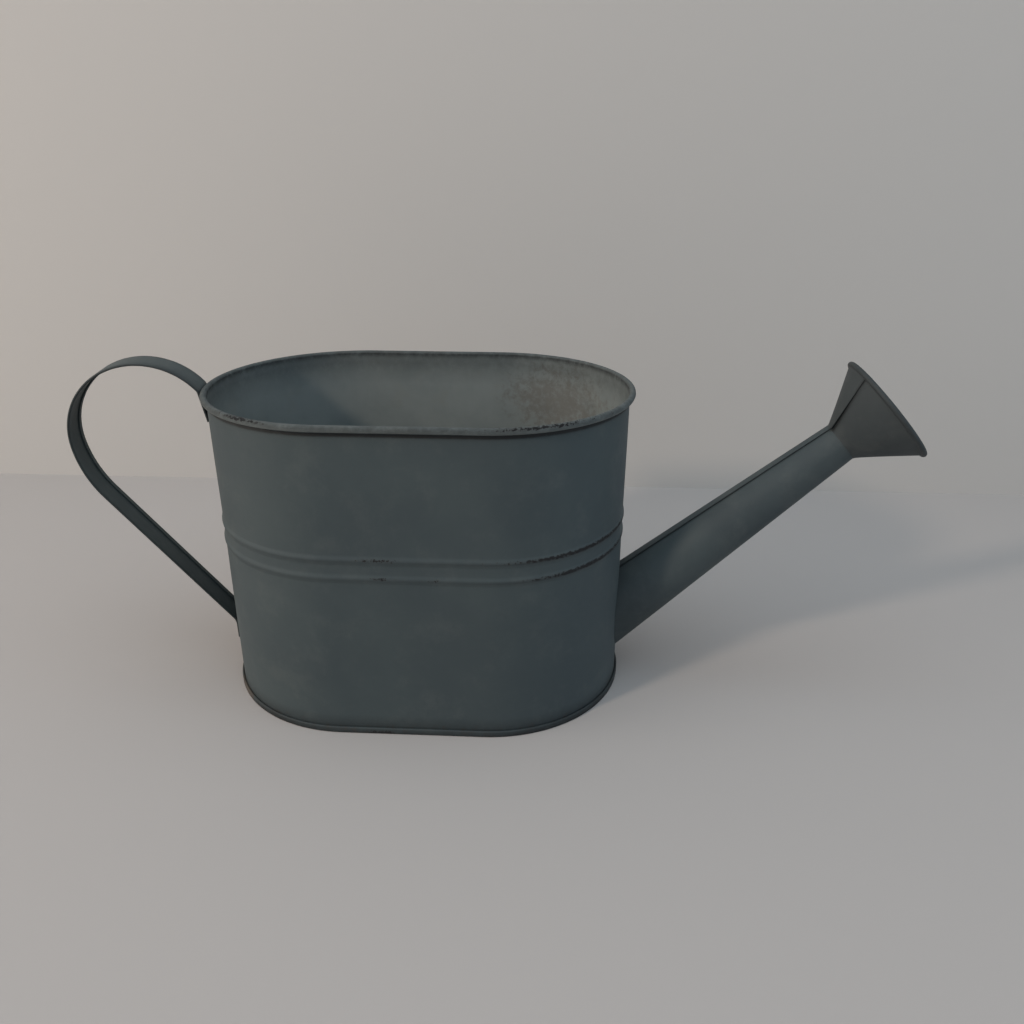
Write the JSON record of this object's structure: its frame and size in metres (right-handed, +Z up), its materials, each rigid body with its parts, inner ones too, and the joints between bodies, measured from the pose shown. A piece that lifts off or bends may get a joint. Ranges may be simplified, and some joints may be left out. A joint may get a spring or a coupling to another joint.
{
  "type": "watering can",
  "caption": "Oval sheet-metal watering can with a strap handle, a long straight spout and a cone-shaped sprinkler rose, painted and worn.",
  "frame": {"origin": "centre of the can's underside, on the floor", "axes": "+X towards the spout along the can's longest extent, +Y across the can, +Z up; the handle is at the -X end"},
  "size_m": [0.4933, 0.167, 0.2034],
  "materials": {
    "body_paint": "matt slate-green paint, chipped and rusting at the rim, ribs and seams",
    "base_paint": "matt slate-green paint, dirty and rusting along the lower seam",
    "handle_paint": "matt slate-green paint, rubbed on the edges, darker inside",
    "spout_paint": "matt slate-green paint with small chips",
    "rose_paint": "matt slate-green paint with small chips and a worn edge"
  },
  "bodies": {
    "root": {"body_wall": "body_paint", "base_pan": "base_paint", "handle_strap": "handle_paint", "spout_tube": "spout_paint", "rose_cone": "rose_paint", "rose_plate": "rose_paint"}
  },
  "joints": []
}
